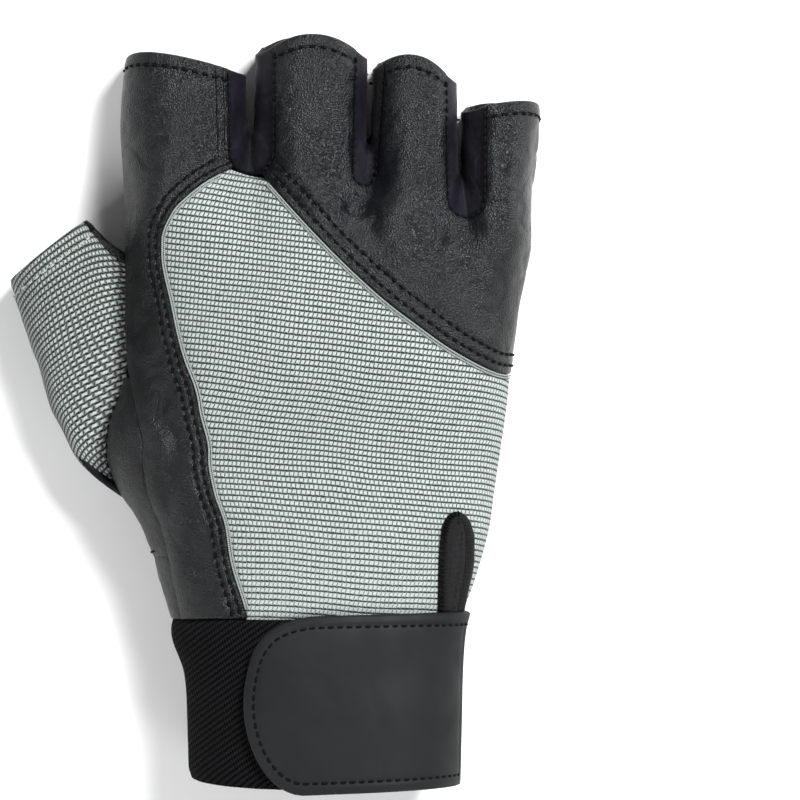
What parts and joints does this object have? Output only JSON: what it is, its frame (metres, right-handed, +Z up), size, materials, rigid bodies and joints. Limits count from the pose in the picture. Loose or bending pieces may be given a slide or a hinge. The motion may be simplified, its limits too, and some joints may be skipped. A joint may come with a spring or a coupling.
{
  "type": "weightlifting glove",
  "caption": "Half-finger weightlifting glove for the right hand, lying palm down, with a knit back, padded suede palm and a strapped wrist cuff.",
  "frame": {"origin": "on the surface the glove lies on, under the middle of the palm", "axes": "+Z up through the back of the hand, +Y along the fingers, -X towards the thumb"},
  "size_m": [0.1325, 0.1889, 0.0402],
  "materials": {
    "leather": "fine-grained, semi-matt",
    "knit": "raised waffle knit",
    "suede": "brushed, matt",
    "stretch": "smooth stretch fabric, slight sheen",
    "elastic": "twill-ribbed elastic",
    "strap": "smooth, semi-matt",
    "piping": "smooth corded piping",
    "binding": "ribbed woven tape"
  },
  "bodies": {
    "root": {"index_leather": "leather", "knuckle_leather": "leather", "back_knit": "knit", "fourchette_index_middle": "stretch", "fourchette_middle_ring": "stretch", "fourchette_ring_little": "stretch", "palm_suede": "suede", "cuff": "elastic", "palm_pad_thumb_side": "suede", "palm_pad_outer": "suede", "thenar_leather": "leather", "heel_leather": "leather", "thumb_knit": "knit", "thumb_leather": "leather", "closure_strap": "strap", "slit_binding": "binding", "slit_gusset": "binding", "knit_piping_side": "piping", "knit_piping_diagonal": "piping", "thenar_piping": "piping"}
  },
  "joints": []
}
